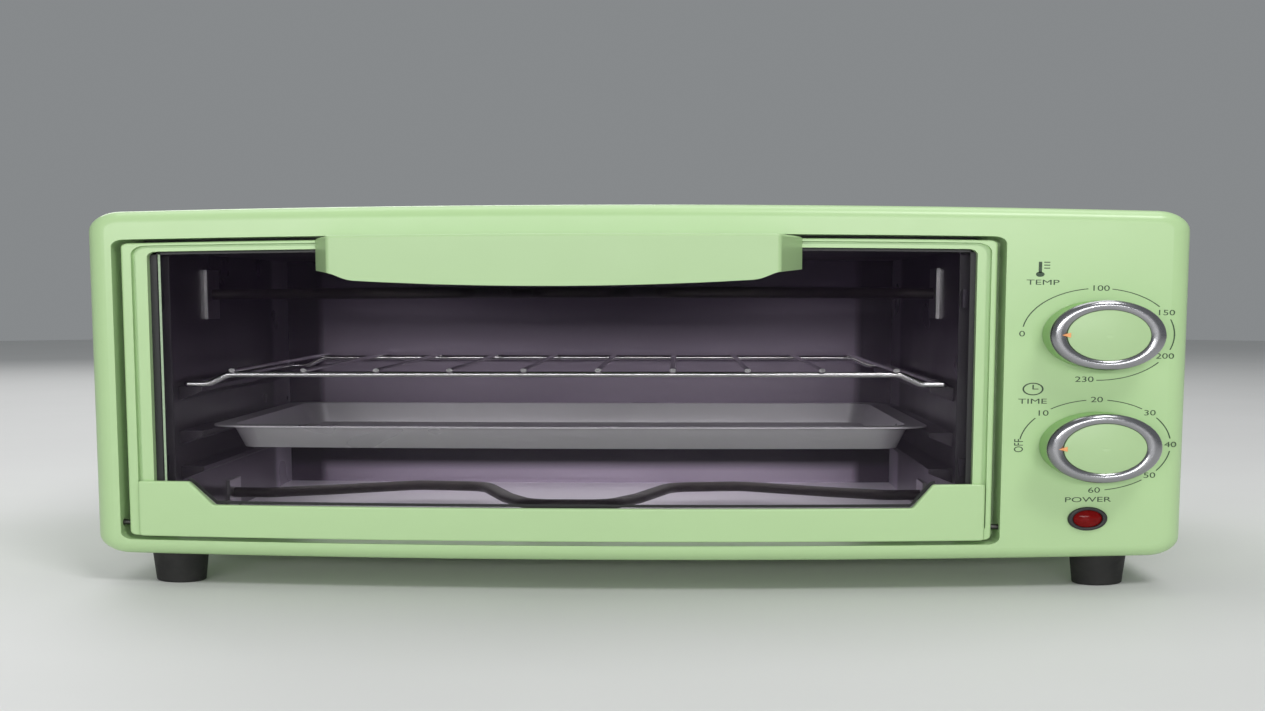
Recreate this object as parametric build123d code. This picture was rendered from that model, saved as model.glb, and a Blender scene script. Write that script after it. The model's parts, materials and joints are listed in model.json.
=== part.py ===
from build123d import *
import math
import os

# A small bench-top toaster oven with a drop-down glass door and two control knobs.
# X runs across the oven (right is positive), Y from the door to the back, Z up.
# The origin lies on the table, under the middle of the whole oven. Millimetres.

# ---------------------------------------------------------------- casing
BODY_W = 360.0
BODY_H = 195.0
BODY_DEPTH = 228.0
FOOT_H = 18.0
BODY_TOP = FOOT_H + BODY_H
CORNER_R = 11.0
FRONT_Y = -104.0        # plane of the fascia's front face
SHEET = 1.0             # thickness of the casing's sheet metal
REAR_FLANGE = 13.0      # how far the wrap's rear flange reaches in
SCREW_HEAD = 2.0
FASCIA_DEPTH = 14.0
FASCIA_SKIN = 3.5
FASCIA_WALL = 2.5
FASCIA_EDGE_R = 7.0

# ---------------------------------------------------------------- door opening and door
OPEN_X0, OPEN_X1 = -170.8, 118.0
OPEN_Z0, OPEN_Z1 = 27.0, 197.0
OPEN_R = 4.0
RIM = 2.0
DOOR_X0, DOOR_X1 = -168.0, 115.3
DOOR_Z0, DOOR_Z1 = 29.2, 195.0
DOOR_D0, DOOR_D1 = 1.5, 9.0
WINDOW_X0, WINDOW_X1 = -159.0, 108.8
WINDOW_Z0, WINDOW_Z1 = 40.0, 190.0
GLASS_D0, GLASS_D1 = 5.0, 8.6
GLASS_X0, GLASS_X1 = -161.5, 110.8
GLASS_Z0, GLASS_Z1 = 34.0, 191.5
HINGE_D, HINGE_Z = 5.0, 36.0
HINGE_PIN_R = 1.5
RUNNING_GAP = 0.05      # radial clearance of a shaft or pin in its bearing
STRIP_D0 = -0.2
STRIP_X0, STRIP_X1 = -164.4, 112.9
STRIP_Z1 = 47.7
STRIP_END_Z1 = 60.8

# ---------------------------------------------------------------- handle
HANDLE_X = -25.0
HANDLE_BASE_W = 155.2
HANDLE_BAR_W = 139.0
HANDLE_REACH = 24.0
HANDLE_TOP = 196.0
HANDLE_WALL = 3.0
HANDLE_EDGE_R = 1.5
HANDLE_END_Z = 178.3
HANDLE_STEP_Z = 176.2
HANDLE_LOW_Z = 172.4
HANDLE_MID_Z = 169.0
HANDLE_BEND_R = 9.0
HANDLE_SCREW_DX = 63.0
HANDLE_SCREW_Z = 184.5

# ---------------------------------------------------------------- oven chamber
CHAMBER_X = -25.0
CHAMBER_HALF_W = 130.0
CHAMBER_Z0, CHAMBER_Z1 = 27.3, 190.0
CHAMBER_D0, CHAMBER_D1 = 16.0, 208.0
LINER = 0.8
RAIL_REACH = 8.0
RAIL_TOPS = (112.6, 86.8, 66.0)
HEATER_R = 3.25
HEATER_BEND_R = 12.0
HEATER_TIP = 138.0      # end of the sheath, from the chamber's middle
HEATER_STUD = 4.0
LOWER_HEATER_Z, LOWER_HEATER_D = 38.0, 96.0
UPPER_HEATER_Z, UPPER_HEATER_D = 166.0, 70.0

# ---------------------------------------------------------------- rack and tray
RACK_Z = 120.0
RACK_SIDE_Z = 114.5
RACK_D0, RACK_D1 = 20.0, 195.0
RACK_FRAME_R = 1.6
RACK_BAR_R = 1.1
RACK_PITCH = 24.5
RACK_BARS = 10
TRAY_RIM_Z = 88.0
TRAY_DEPTH = 14.0
TRAY_HALF_W = 125.0
TRAY_D0, TRAY_D1 = 40.0, 191.0
TRAY_SHEET = 1.0

# ---------------------------------------------------------------- controls
KNOB_X = 149.0
TEMPERATURE_Z = 144.0
TIMER_Z = 82.3
KNOB_R = 19.0
KNOB_LENGTH = 16.0
RING_INNER_R = 13.7
SHAFT_R = 3.0
LAMP_X, LAMP_Z = 147.0, 41.0
LAMP_R = 6.65
BRACKET_D = 13.0
SHIELD_X = 112.0
BELL_D, BELL_R = 40.0, 15.0

# ---------------------------------------------------------------- feet and back
FOOT_X = 155.0
FOOT_DEPTHS = (18.0, 203.0)
FOOT_TOP_R, FOOT_BOTTOM_R = 9.75, 8.5
BACK_D = 225.0
GLAND_X, GLAND_Z = 150.0, 44.0
GLAND_BORE_R = 3.6
GLAND_OUT_D = 232.0
LEAD_R = 1.3


# ---------------------------------------------------------------- helpers
def depth(d):
    """Y of the plane d behind the fascia's front face."""
    return FRONT_Y + d


def block(x0, x1, d0, d1, z0, z1):
    """Box between two corners, with its depths measured behind the fascia's front face."""
    centre = Pos((x0 + x1) / 2, depth((d0 + d1) / 2), (z0 + z1) / 2)
    return centre * Box(x1 - x0, d1 - d0, z1 - z0)


def rod_y(x, z, radius, d0, d1):
    """Round rod along Y."""
    return Pos(x, depth((d0 + d1) / 2), z) * Rot(90, 0, 0) * Cylinder(radius, d1 - d0)


def rod_x(d, z, radius, x0, x1):
    """Round rod along X."""
    return Pos((x0 + x1) / 2, depth(d), z) * Rot(0, 90, 0) * Cylinder(radius, x1 - x0)


def rod_z(x, d, radius, z0, z1):
    """Round rod along Z."""
    return Pos(x, depth(d), (z0 + z1) / 2) * Cylinder(radius, z1 - z0)


def plate(outline, d0, d1):
    """Solid with an outline drawn in X and Z, between two depths."""
    return extrude(Plane.XZ.offset(-depth(d1)) * outline, d1 - d0)


def rounded(x0, x1, z0, z1, radius):
    """Rounded rectangle in X and Z."""
    return Pos((x0 + x1) / 2, (z0 + z1) / 2) * RectangleRounded(x1 - x0, z1 - z0, radius)


def turned(section, x, z):
    """Solid of revolution about a line along Y; the section is (radius, height off the fascia)."""
    solid = revolve(Plane.XZ * section, Axis.Z)
    return Pos(x, depth(0), z) * Rot(90, 0, 0) * solid


def dome_arc(radius, edge, crown):
    """Arc of a shallow dome in a turned section, from its edge up to its crown on the axis."""
    rise = crown - edge
    sphere_r = (radius ** 2 + rise ** 2) / (2 * rise)
    half = radius / 2
    middle = crown - sphere_r + math.sqrt(sphere_r ** 2 - half ** 2)
    return ThreePointArc((radius, edge), (half, middle), (0, crown))


def wire(points, radius, bend):
    """Round wire along straight runs joined by arcs."""
    path = FilletPolyline(*points, radius=bend)
    return sweep(Plane(path @ 0, z_dir=path % 0) * Circle(radius), path)


def joined(solids):
    """One solid made from overlapping ones."""
    return Part() + list(solids)


def group(solids):
    """Several separate solids kept in one node."""
    return Compound(children=list(solids))


def body_outline(inset):
    """The casing's rounded cross-section, drawn in by an inset."""
    half = BODY_W / 2 - inset
    return rounded(-half, half, FOOT_H + inset, BODY_TOP - inset, max(CORNER_R - inset, 2.0))


# ---------------------------------------------------------------- casing pieces
def front_fascia():
    """Moulded front frame with the door opening on the left and the control panel on the right."""
    body = plate(body_outline(0), 0, FASCIA_DEPTH)
    body = fillet(body.faces().sort_by(Axis.Y)[0].outer_wire().edges(), FASCIA_EDGE_R)
    pocket = plate(body_outline(FASCIA_WALL), FASCIA_SKIN, FASCIA_DEPTH)
    rim = rounded(OPEN_X0 - RIM, OPEN_X1 + RIM, OPEN_Z0 - RIM, OPEN_Z1 + RIM, OPEN_R + RIM)
    body -= pocket - plate(rim, FASCIA_SKIN, FASCIA_DEPTH)
    opening = rounded(OPEN_X0, OPEN_X1, OPEN_Z0, OPEN_Z1, OPEN_R)
    body -= plate(opening, -1, FASCIA_DEPTH + 1)
    for x, z in bracket_corners():
        body += rod_y(x, z, 4.0, FASCIA_SKIN, BRACKET_D)
        body -= rod_y(x, z, 1.4, 6.0, BRACKET_D)
    for z in (TEMPERATURE_Z, TIMER_Z):
        body -= rod_y(KNOB_X, z, SHAFT_R + 2.5, -1, FASCIA_SKIN + 1)
    body -= rod_y(LAMP_X, LAMP_Z, LAMP_R - 1.65, -1, FASCIA_SKIN + 1)
    for x in (OPEN_X0 - RIM / 2, OPEN_X1 + RIM / 2):
        body -= rod_x(HINGE_D, HINGE_Z, HINGE_PIN_R + 0.7, x - RIM - 2, x + RIM + 2)
    return body


def vent_slots(x0, x1, d_start, columns, rows, z_start):
    """Rows of vent slots cut through a side wall."""
    slots = []
    for column in range(columns):
        for row in range(rows):
            d = d_start + column * 40.0
            z = z_start + row * 8.0
            slots.append(block(x0, x1, d, d + 30.0, z, z + 2.6))
    return slots


def outer_shell():
    """Sheet wrapped over the top and both sides, turned in at the bottom corners and at the back."""
    shell = plate(body_outline(0) - body_outline(SHEET), FASCIA_DEPTH, BODY_DEPTH)
    under = BODY_W / 2 - CORNER_R - SHEET
    shell -= block(-under, under, FASCIA_DEPTH - 1, BODY_DEPTH + 1, FOOT_H - 1, FOOT_H + SHEET + 1)
    side = BODY_W / 2
    for slot in vent_slots(side - 3, side + 1, 120.0, 2, 8, 70.0):
        shell -= slot
    for slot in vent_slots(-side - 1, -side + 3, 120.0, 2, 5, 150.0):
        shell -= slot
    flange = body_outline(SHEET) - body_outline(REAR_FLANGE)
    shell += plate(flange, BACK_D - SHEET, BACK_D)
    for x, z in back_screw_places():
        shell -= rod_y(x, z, 1.6, BACK_D - 3, BACK_D + 1)
    return shell


def back_panel():
    """Back sheet with a raised field and vents, screwed to the wrap's rear flange."""
    panel = plate(body_outline(SHEET + 0.2), BACK_D, BACK_D + SHEET)
    panel += plate(rounded(-150, 100, 45, 185, 8), BACK_D, BACK_D + 2.4)
    panel -= plate(rounded(-149, 99, 46, 184, 7), BACK_D - 1, BACK_D + 1.4)
    for row in range(9):
        z = 72 + row * 9.0
        panel -= plate(rounded(-110, -60, z, z + 3.0, 1.4), BACK_D - 1, BACK_D + 4)
        panel -= plate(rounded(10, 60, z, z + 3.0, 1.4), BACK_D - 1, BACK_D + 4)
        panel -= plate(rounded(122, 160, z, z + 3.0, 1.4), BACK_D - 1, BACK_D + 4)
    panel -= rod_y(GLAND_X, GLAND_Z, 8.0, BACK_D - 1, BACK_D + 4)
    for x, z in back_screw_places():
        panel -= rod_y(x, z, 1.6, BACK_D - 1, BACK_D + 4)
    return panel


def back_screw_places():
    """X and Z of the screws round the back panel."""
    return [(x, z) for x in (-160.0, 0.0, 160.0) for z in (FOOT_H + 7, BODY_TOP - 7)]


def screw(head_r, shank_r, length):
    """Cross-head screw along Z, with its head above Z = 0 and its shank below."""
    head = Pos(0, 0, SCREW_HEAD / 2) * Cylinder(head_r, SCREW_HEAD)
    head = fillet(head.faces().sort_by(Axis.Z)[-1].edges(), 0.8)
    body = head + Pos(0, 0, -length / 2) * Cylinder(shank_r, length)
    for turn in (0, 90):
        slot = Box(head_r * 1.2, 0.9, 2.0)
        body -= Pos(0, 0, SCREW_HEAD) * Rot(0, 0, turn) * slot
    return body


def screw_from_behind(x, z, seat_d, head_r, shank_r, length):
    """Screw along Y whose head is at the back, seated at a depth."""
    return Pos(x, depth(seat_d), z) * Rot(-90, 0, 0) * screw(head_r, shank_r, length)


def back_screws():
    """Six screws that hold the back panel."""
    seat = BACK_D + SHEET
    return group(screw_from_behind(x, z, seat, 3.3, 1.5, 8.0) for x, z in back_screw_places())


def base_plate():
    """Bottom sheet with upturned sides, vents and a hole over each foot."""
    half = BODY_W / 2 - CORNER_R - SHEET - 0.3
    base = block(-half, half, FASCIA_DEPTH, BACK_D, FOOT_H, FOOT_H + SHEET)
    for s in (-1, 1):
        x0, x1 = sorted((s * half, s * (half - SHEET)))
        base += block(x0, x1, FASCIA_DEPTH + 3, BACK_D - 3, FOOT_H, FOOT_H + 7)
    for column in range(8):
        x = -110 + column * 26.0
        base -= block(x, x + 3.0, 90, 150, FOOT_H - 1, FOOT_H + 2)
    for x, d in foot_places():
        base -= rod_z(x, d, 1.6, FOOT_H - 1, FOOT_H + 2)
    return base


def foot_places():
    """X and depth of the four feet."""
    return [(s * FOOT_X, d) for d in FOOT_DEPTHS for s in (-1, 1)]


def foot(x, d):
    """Tapered rubber foot with a recess for its screw."""
    body = Pos(x, depth(d), FOOT_H / 2) * Cone(FOOT_BOTTOM_R, FOOT_TOP_R, FOOT_H)
    body = fillet(body.edges().sort_by(Axis.Z)[0], 1.0)
    body -= rod_z(x, d, 4.5, -1, 9)
    return body - rod_z(x, d, 1.5, 8, FOOT_H + 1)


def foot_screws():
    """The screws that come up through the feet into the base plate."""
    upside_down = Rot(180, 0, 0) * screw(3.6, 1.5, 15.0)
    return group(Pos(x, depth(d), 9.0) * upside_down for x, d in foot_places())


def cord_gland():
    """Flanged bush where the mains lead enters, open right through."""
    gland = rod_y(GLAND_X, GLAND_Z, 7.9, BACK_D - 5, BACK_D + SHEET)
    gland += rod_y(GLAND_X, GLAND_Z, 10.5, BACK_D + SHEET, BACK_D + SHEET + 2.5)
    gland += rod_y(GLAND_X, GLAND_Z, 7.0, BACK_D + SHEET, GLAND_OUT_D)
    return gland - rod_y(GLAND_X, GLAND_Z, GLAND_BORE_R, BACK_D - 6, GLAND_OUT_D + 1)


# ---------------------------------------------------------------- oven chamber pieces
def chamber_side(s):
    """Side liner with three pressed rails; s is -1 for the left and 1 for the right."""
    inner = CHAMBER_X + s * CHAMBER_HALF_W
    x0, x1 = sorted((inner, inner + s * LINER))
    wall = block(x0, x1, CHAMBER_D0, CHAMBER_D1 + LINER, CHAMBER_Z0 - LINER, CHAMBER_Z1 + LINER)
    tip = inner - s * RAIL_REACH
    for top in RAIL_TOPS:
        section = Polyline((inner, top), (tip, top), (tip, top - 2.5), (inner, top - 8.0), close=True)
        wall += plate(make_face(section), CHAMBER_D0 + 6, CHAMBER_D1 - 6)
    for d, z in ((LOWER_HEATER_D, LOWER_HEATER_Z), (UPPER_HEATER_D, UPPER_HEATER_Z)):
        wall -= rod_x(d, z, 4.2, x0 - 1, x1 + 1)
    return wall


def chamber_back():
    """Rear liner with a raised centre panel."""
    x0, x1 = CHAMBER_X - CHAMBER_HALF_W, CHAMBER_X + CHAMBER_HALF_W
    wall = block(x0, x1, CHAMBER_D1, CHAMBER_D1 + LINER, CHAMBER_Z0, CHAMBER_Z1)
    panel = rounded(CHAMBER_X - 114, CHAMBER_X + 114, CHAMBER_Z0 + 4, CHAMBER_Z1 - 5, 5)
    wall += plate(panel, CHAMBER_D1 - 2.6, CHAMBER_D1)
    hollow = rounded(CHAMBER_X - 113, CHAMBER_X + 113, CHAMBER_Z0 + 5, CHAMBER_Z1 - 6, 4)
    return wall - plate(hollow, CHAMBER_D1 - 1.8, CHAMBER_D1 + 2)


def chamber_sheet(z0, z1):
    """Flat liner across the chamber, used for its ceiling and its floor."""
    x0, x1 = CHAMBER_X - CHAMBER_HALF_W, CHAMBER_X + CHAMBER_HALF_W
    return block(x0, x1, CHAMBER_D0, CHAMBER_D1 + LINER, z0, z1)


def chamber_front_frame():
    """Flat frame behind the fascia that joins the liners and that the door closes against."""
    outer = rounded(OPEN_X0 - RIM, OPEN_X1 + RIM - 0.1, OPEN_Z0 - 5, OPEN_Z1 + 8, 4)
    inner = rounded(
        CHAMBER_X - CHAMBER_HALF_W, CHAMBER_X + CHAMBER_HALF_W, CHAMBER_Z0, CHAMBER_Z1, 3
    )
    return plate(outer - inner, CHAMBER_D0 - 1.6, CHAMBER_D0)


def heater(z, end_d, swing):
    """Sheathed heating rod with a wave in plan; swing is 1 for a wave to the back, -1 to the front."""
    half_plan = [(0, -32), (14, -32), (24, -10), (36, 31), (63, 35), (96, 12), (116, 0)]
    half_plan.append((HEATER_TIP, 0))
    right = [(CHAMBER_X + x, depth(end_d + swing * d), z) for x, d in half_plan[1:]]
    left = [(CHAMBER_X - x, depth(end_d + swing * d), z) for x, d in half_plan[:0:-1]]
    rod = wire(left + right, HEATER_R, HEATER_BEND_R)
    for s in (-1, 1):
        tip = CHAMBER_X + s * HEATER_TIP
        rod += rod_x(end_d, z, 1.5, *sorted((tip, tip + s * HEATER_STUD)))
    return rod


def heater_ends():
    """Side, depth and height of the four heater ends."""
    levels = ((LOWER_HEATER_D, LOWER_HEATER_Z), (UPPER_HEATER_D, UPPER_HEATER_Z))
    return [(s, d, z) for s in (-1, 1) for d, z in levels]


def heater_insulators():
    """Ceramic rings round the heater ends, outside the liners."""
    rings = []
    for s, d, z in heater_ends():
        face = CHAMBER_X + s * (CHAMBER_HALF_W + LINER)
        x0, x1 = sorted((face, face + s * 5.0))
        ring = rod_x(d, z, 7.0, x0, x1)
        rings.append(ring - rod_x(d, z, HEATER_R, x0 - 1, x1 + 1))
    return group(rings)


def heater_brackets():
    """Small plates that hold the heater ends on the inside of the liners."""
    plates = []
    for s, d, z in heater_ends():
        face = CHAMBER_X + s * CHAMBER_HALF_W
        x0, x1 = sorted((face, face - s * 1.2))
        height = 15.0 if z == UPPER_HEATER_Z else 9.0
        bracket = block(x0, x1, d - 9, d + 9, z - height, z + height)
        plates.append(bracket - rod_x(d, z, HEATER_R, x0 - 1, x1 + 1))
    return group(plates)


# ---------------------------------------------------------------- rack and tray
def wire_rack():
    """Chromed wire rack: a frame dropped at both sides and ten bars on top of it."""
    left, right = CHAMBER_X - 126, CHAMBER_X + 126
    parts = []
    for d in (RACK_D0, RACK_D1):
        y = depth(d)
        points = [(left, y, RACK_SIDE_Z), (left + 7, y, RACK_SIDE_Z), (left + 14, y, RACK_Z)]
        points += [(right - 14, y, RACK_Z), (right - 7, y, RACK_SIDE_Z), (right, y, RACK_SIDE_Z)]
        parts.append(wire(points, RACK_FRAME_R, 4.0))
        for x in (left, right):
            parts.append(Pos(x, y, RACK_SIDE_Z) * Sphere(RACK_FRAME_R))
    for x in (left, right):
        parts.append(rod_y(x, RACK_SIDE_Z, RACK_FRAME_R, RACK_D0, RACK_D1))
    bar_z = RACK_Z + RACK_FRAME_R + RACK_BAR_R - 0.3
    for i in range(RACK_BARS):
        x = CHAMBER_X + (i - (RACK_BARS - 1) / 2) * RACK_PITCH
        parts.append(rod_y(x, bar_z, RACK_BAR_R, RACK_D0 - 2, RACK_D1 + 2))
    return joined(parts)


def tray_block(shrink, z_floor, z_top):
    """Tapered block inside the tray's walls, wider at the top."""
    slope = 0.28
    width = 2 * (TRAY_HALF_W - 6 - shrink)
    length = TRAY_D1 - TRAY_D0 - 12 - 2 * shrink
    middle = Pos(CHAMBER_X, depth((TRAY_D0 + TRAY_D1) / 2))
    top = Pos(0, 0, z_top) * middle * RectangleRounded(width, length, 9)
    narrowing = 2 * slope * (z_top - z_floor)
    bottom = Pos(0, 0, z_floor) * middle * RectangleRounded(width - narrowing, length - narrowing, 7)
    return loft([bottom, top])


def baking_tray():
    """Pressed tray with sloping walls and a flat rim that rests on the rails."""
    middle = Pos(CHAMBER_X, depth((TRAY_D0 + TRAY_D1) / 2), TRAY_RIM_Z - TRAY_SHEET)
    rim = middle * RectangleRounded(2 * TRAY_HALF_W, TRAY_D1 - TRAY_D0, 12)
    tray = extrude(rim, TRAY_SHEET)
    floor = TRAY_RIM_Z - TRAY_DEPTH
    tray += tray_block(0, floor, TRAY_RIM_Z)
    return tray - tray_block(TRAY_SHEET, floor + TRAY_SHEET, TRAY_RIM_Z + 0.5)


# ---------------------------------------------------------------- door pieces
def door_frame():
    """Painted door frame with a stepped groove round the window and a seat for the glass."""
    frame = plate(rounded(DOOR_X0, DOOR_X1, DOOR_Z0, DOOR_Z1, 2.5), DOOR_D0, DOOR_D1)
    frame = fillet(frame.faces().sort_by(Axis.Y)[0].outer_wire().edges(), 0.8)
    window = rounded(WINDOW_X0, WINDOW_X1, WINDOW_Z0, WINDOW_Z1, 3)
    frame -= plate(window, 0, DOOR_D1 + 1)
    seat = rounded(GLASS_X0 - 0.2, GLASS_X1 + 0.2, GLASS_Z0 - 0.2, GLASS_Z1 + 0.2, 1.5)
    frame -= plate(seat, GLASS_D0, DOOR_D1 + 1)
    groove_out = rounded(DOOR_X0 + 3.5, DOOR_X1 - 1.9, DOOR_Z0 + 3, DOOR_Z1 - 1.6, 5)
    groove_in = rounded(DOOR_X0 + 5.1, DOOR_X1 - 3.6, DOOR_Z0 + 4.6, DOOR_Z1 - 3.0, 4)
    frame -= plate(groove_out - groove_in, 0, DOOR_D0 + 2.0)
    for x0, x1 in hinge_pin_spans():
        frame -= rod_x(HINGE_D, HINGE_Z, HINGE_PIN_R, x0, x1)
    return frame


def hinge_pin_spans():
    """Start and end of each hinge pin along X."""
    return [(OPEN_X0 - RIM - 2.2, DOOR_X0 + 5.8), (DOOR_X1 - 3.8, OPEN_X1 + RIM + 2.2)]


def hinge_pins():
    """Two steel pins that stick out of the lower corners of the door."""
    return group(rod_x(HINGE_D, HINGE_Z, HINGE_PIN_R, x0, x1) for x0, x1 in hinge_pin_spans())


def hinge_brackets():
    """Bearing plates behind the fascia that the door's pins turn in."""
    brackets = []
    for x0 in (OPEN_X0 - RIM - 1.6, OPEN_X1 + RIM):
        bracket = block(x0, x0 + 1.6, FASCIA_SKIN, FASCIA_DEPTH - 1, HINGE_Z - 6, HINGE_Z + 14)
        bracket -= rod_x(HINGE_D, HINGE_Z, HINGE_PIN_R + RUNNING_GAP, x0 - 1, x0 + 3)
        brackets.append(bracket)
    return group(brackets)


def door_glass():
    """Tempered glass pane with two holes for the handle's screws."""
    pane = plate(rounded(GLASS_X0, GLASS_X1, GLASS_Z0, GLASS_Z1, 1.5), GLASS_D0, GLASS_D1)
    for s in (-1, 1):
        x = HANDLE_X + s * HANDLE_SCREW_DX
        pane -= rod_y(x, HANDLE_SCREW_Z, 1.8, GLASS_D0 - 1, GLASS_D1 + 1)
    return pane


def strip_outline(inset):
    """Front outline of the bottom strip, with a raised part at each end."""
    left, right = STRIP_X0 + inset, STRIP_X1 - inset
    slope_left = (-146.7 - inset, -138.6)
    slope_right = (89.2, 95.7 + inset)
    points = [(left, DOOR_Z0 + inset), (right, DOOR_Z0 + inset), (right, STRIP_END_Z1 - inset)]
    points += [(slope_right[1], STRIP_END_Z1 - inset), (slope_right[0], STRIP_Z1 - inset)]
    points += [(slope_left[1], STRIP_Z1 - inset), (slope_left[0], STRIP_END_Z1 - inset)]
    points += [(left, STRIP_END_Z1 - inset)]
    outline = make_face(Polyline(*points, close=True))
    return fillet(outline.vertices(), 1.4)


def door_bottom_strip():
    """Painted strip across the bottom of the door, in front of the glass."""
    strip = plate(strip_outline(0), STRIP_D0, DOOR_D0)
    strip = fillet(strip.faces().sort_by(Axis.Y)[0].outer_wire().edges(), 0.9)
    window = plate(rounded(WINDOW_X0, WINDOW_X1, WINDOW_Z0, WINDOW_Z1, 3), DOOR_D0, GLASS_D0)
    return strip + (plate(strip_outline(0.6), DOOR_D0 - 0.5, GLASS_D0) & window)


def handle_plan(inset):
    """Trapezoid seen from above: wide at the door and narrower at the bar."""
    base = HANDLE_BASE_W / 2 - inset
    bar = HANDLE_BAR_W / 2 - inset
    back, front = depth(DOOR_D0), depth(-HANDLE_REACH + inset)
    points = [(HANDLE_X - base, back), (HANDLE_X - bar, front)]
    points += [(HANDLE_X + bar, front), (HANDLE_X + base, back)]
    outline = make_face(Polyline(*points, close=True))
    return fillet(outline.vertices().sort_by(Axis.Y)[:2], HANDLE_EDGE_R)


def handle_front():
    """Front outline of the handle, with its lower edge bowed down in the middle."""
    base, bar = HANDLE_BASE_W / 2, HANDLE_BAR_W / 2
    low_end, step, top = bar - 6.5, bar - 1, HANDLE_TOP + 5
    left, right = (HANDLE_X - low_end, HANDLE_LOW_Z), (HANDLE_X + low_end, HANDLE_LOW_Z)
    bow = ThreePointArc(left, (HANDLE_X, HANDLE_MID_Z), right)
    corners = [right, (HANDLE_X + step, HANDLE_STEP_Z), (HANDLE_X + base, HANDLE_END_Z)]
    corners += [(HANDLE_X + base, top), (HANDLE_X - base, top), (HANDLE_X - base, HANDLE_END_Z)]
    corners += [(HANDLE_X - step, HANDLE_STEP_Z), left]
    outline = make_face([bow, Polyline(*corners)])
    bends = outline.vertices().filter_by(lambda v: v.Y < HANDLE_END_Z - 0.1)
    return fillet(bends, HANDLE_BEND_R)


def door_handle():
    """Hollow pull along the top of the door, open underneath for the fingers."""
    low = HANDLE_MID_Z - 5
    body = Pos(0, 0, low) * extrude(handle_plan(0), HANDLE_TOP - low)
    body = fillet(body.faces().sort_by(Axis.Z)[-1].edges().sort_by(Axis.Y)[:3], HANDLE_EDGE_R)
    hollow = Pos(0, 0, low - 1) * extrude(handle_plan(HANDLE_WALL), HANDLE_TOP - HANDLE_WALL - low + 1)
    body -= hollow
    for s in (-1, 1):
        x = HANDLE_X + s * HANDLE_SCREW_DX
        body += block(x - 4.5, x + 4.5, -13.0, DOOR_D0, HANDLE_SCREW_Z - 5.5, HANDLE_TOP - 2)
        body += rod_y(x, HANDLE_SCREW_Z, 4.0, -2.0, GLASS_D0)
    body &= plate(handle_front(), -HANDLE_REACH - 1, GLASS_D0)
    for s in (-1, 1):
        body -= rod_y(HANDLE_X + s * HANDLE_SCREW_DX, HANDLE_SCREW_Z, 1.4, -8.0, GLASS_D0 + 1)
    return body


def handle_screws():
    """Screws from behind the glass into the handle."""
    places = [HANDLE_X + s * HANDLE_SCREW_DX for s in (-1, 1)]
    length = GLASS_D1 + 8.0
    return group(screw_from_behind(x, HANDLE_SCREW_Z, GLASS_D1, 3.6, 1.4, length) for x in places)


def clip_places():
    """Side and height of the clips that hold the glass."""
    return [(s, z) for s in (-1, 1) for z in (69.0, 163.0)]


def glass_clips():
    """Bent clips screwed to the back of the frame, over the edges of the glass."""
    clips = []
    for s, z in clip_places():
        edge = GLASS_X0 if s < 0 else GLASS_X1
        x0, x1 = sorted((edge - s * 5.5, edge + s * 3.8))
        clip = block(x0, x1, DOOR_D1, DOOR_D1 + 1.0, z - 5, z + 5)
        x0, x1 = sorted((edge - s * 5.5, edge - s * 0.3))
        clips.append(clip + block(x0, x1, GLASS_D1, DOOR_D1 + 0.5, z - 5, z + 5))
    return group(clips)


# ---------------------------------------------------------------- controls
def knob_body(z):
    """Tapered knob skirt, hollow behind, with a boss on the shaft."""
    front = KNOB_LENGTH - 2.6
    points = [(SHAFT_R, 0.8), (7, 0.8), (7, front - 3), (16.4, front - 3), (16.9, 0.8)]
    points += [(KNOB_R - 0.1, 0.8), (KNOB_R - 0.6, front), (0, front), (0, front - 2)]
    points += [(SHAFT_R, front - 2)]
    return turned(make_face(Polyline(*points, close=True)), KNOB_X, z)


def knob_ring(z):
    """Bright ring round the front edge of a knob, with a rounded face."""
    base, inner, outer = KNOB_LENGTH - 2.6, KNOB_LENGTH - 0.9, KNOB_LENGTH - 1.8
    middle_r = (RING_INNER_R + KNOB_R) / 2
    lines = Polyline((RING_INNER_R, inner), (RING_INNER_R, base), (KNOB_R, base), (KNOB_R, outer))
    face = ThreePointArc((KNOB_R, outer), (middle_r, KNOB_LENGTH), (RING_INNER_R, inner))
    return turned(make_face([lines, face]), KNOB_X, z) - knob_pointer(z)


def knob_pointer(z):
    """Small coloured arrowhead let into a knob's cap and ring, pointing outwards."""
    root, tip = KNOB_X - RING_INNER_R + 1.1, KNOB_X - RING_INNER_R - 1.8
    arrow = make_face(Polyline((root, z - 1.3), (tip, z), (root, z + 1.3), close=True))
    return plate(arrow, -KNOB_LENGTH - 0.05, -KNOB_LENGTH + 1.3)


def knob_cap(z):
    """Slightly domed disc inside the bright ring."""
    base, edge, crown = KNOB_LENGTH - 2.6, KNOB_LENGTH - 0.6, KNOB_LENGTH + 0.5
    radius = RING_INNER_R - 0.1
    lines = Polyline((0, crown), (0, base), (radius, base), (radius, edge))
    cap = turned(make_face([lines, dome_arc(radius, edge, crown)]), KNOB_X, z)
    return cap - knob_pointer(z)


def control_shaft(z):
    """Steel shaft between a knob and its control."""
    return rod_y(KNOB_X, z, SHAFT_R, -(KNOB_LENGTH - 4.6), 20.0)


def bracket_corners():
    """X and Z of the four bosses that hold the control bracket."""
    return [(x, z) for x in (KNOB_X - 23, KNOB_X + 22) for z in (59.0, 167.0)]


def control_bracket():
    """Steel plate behind the fascia that carries the thermostat and the timer."""
    bracket = block(KNOB_X - 28, KNOB_X + 27, BRACKET_D, BRACKET_D + SHEET, 54, 172)
    for z in (TEMPERATURE_Z, TIMER_Z):
        bracket -= rod_y(KNOB_X, z, 5.2, BRACKET_D - 1, BRACKET_D + 2)
    for x, z in bracket_corners():
        bracket -= rod_y(x, z, 1.7, BRACKET_D - 1, BRACKET_D + 2)
    return bracket


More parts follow.
